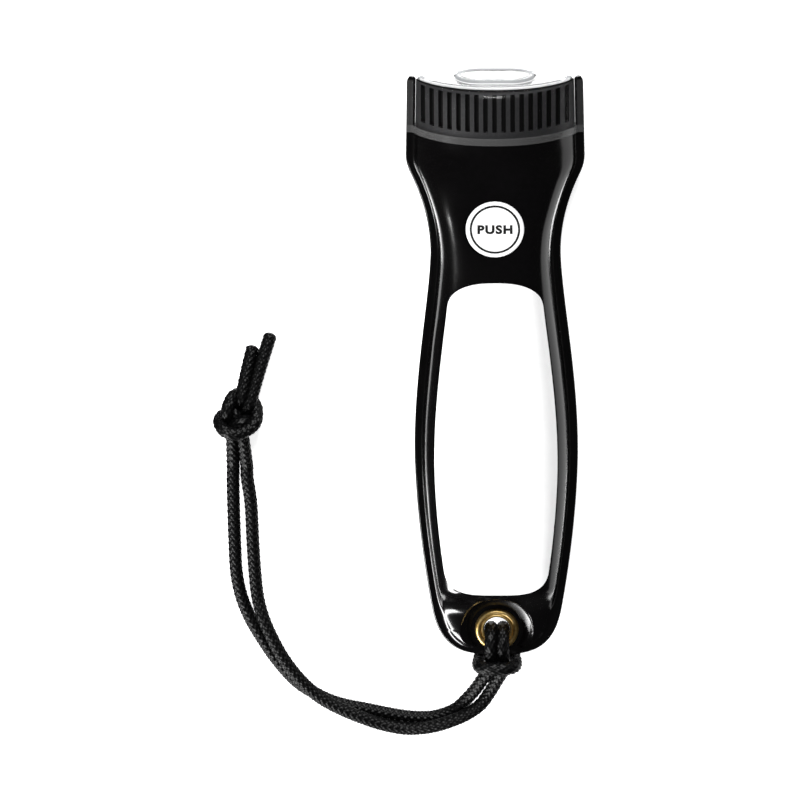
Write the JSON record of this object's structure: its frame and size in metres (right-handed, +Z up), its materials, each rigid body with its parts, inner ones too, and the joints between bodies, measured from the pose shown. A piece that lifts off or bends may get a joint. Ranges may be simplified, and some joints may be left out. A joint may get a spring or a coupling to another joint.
{
  "type": "flashlight",
  "caption": "Flat sealed vinyl flashlight with a waisted body, ribbed lens head, round press pad, back magnets, tail eyelet and a knotted lanyard.",
  "frame": {"origin": "middle of the light's box on the surface that its magnet pads rest on, measured without the lanyard", "axes": "+X to the right seen from the front, +Y from the tail to the lens, +Z up through the press pad"},
  "size_m": [0.1142, 0.2174, 0.0269],
  "materials": {
    "black_vinyl": "glossy",
    "clear_vinyl": "clear glossy vinyl",
    "bezel_plastic": "satin",
    "clear_lens": "clear moulded plastic",
    "reflector_mirror": "vacuum plated",
    "lamp_glass": "clear",
    "contact_brass": "bright",
    "plated_steel": "nickel plated",
    "case_plastic": "moulded",
    "cell_wrap": "plain wrapped",
    "switch_plastic": "moulded",
    "white_vinyl": "glossy",
    "magnet_ferrite": "sintered",
    "eyelet_brass": "polished",
    "braided_cord": "braided"
  },
  "bodies": {
    "light": {"front_skin": "black_vinyl", "back_skin": "black_vinyl", "clear_front": "clear_vinyl", "clear_back": "clear_vinyl", "bezel": "bezel_plastic", "lens": "clear_lens", "reflector": "reflector_mirror", "bulb_glass": "lamp_glass", "bulb_base": "contact_brass", "bulb_sleeve": "plated_steel", "case_front": "case_plastic", "case_back": "case_plastic", "battery_tray": "case_plastic", "battery_left": "cell_wrap", "battery_right": "cell_wrap", "tail_spring": "plated_steel", "head_spring": "plated_steel", "bridge_plate": "contact_brass", "supply_strip": "contact_brass", "lamp_strip": "contact_brass", "return_strip": "contact_brass", "switch_frame": "case_plastic", "button_spring": "plated_steel", "upper_magnet": "magnet_ferrite", "lower_magnet": "magnet_ferrite", "upper_keeper": "plated_steel", "lower_keeper": "plated_steel", "label_panel": "white_vinyl", "eyelet": "eyelet_brass", "eyelet_ring": "eyelet_brass", "lanyard_cord": "braided_cord", "lanyard_knot": "braided_cord"},
    "button": {"press_pad": "white_vinyl", "button_plunger": "switch_plastic", "contact_bridge": "contact_brass"}
  },
  "joints": [
    {"name": "button_press", "type": "slide", "parent": "light", "child": "button", "axis": [0, 0, -1], "range_m": [0, 0.0012], "stiffness_N_per_m": 1500, "springref_m": -0.001, "deforming": ["button_spring"]}
  ]
}
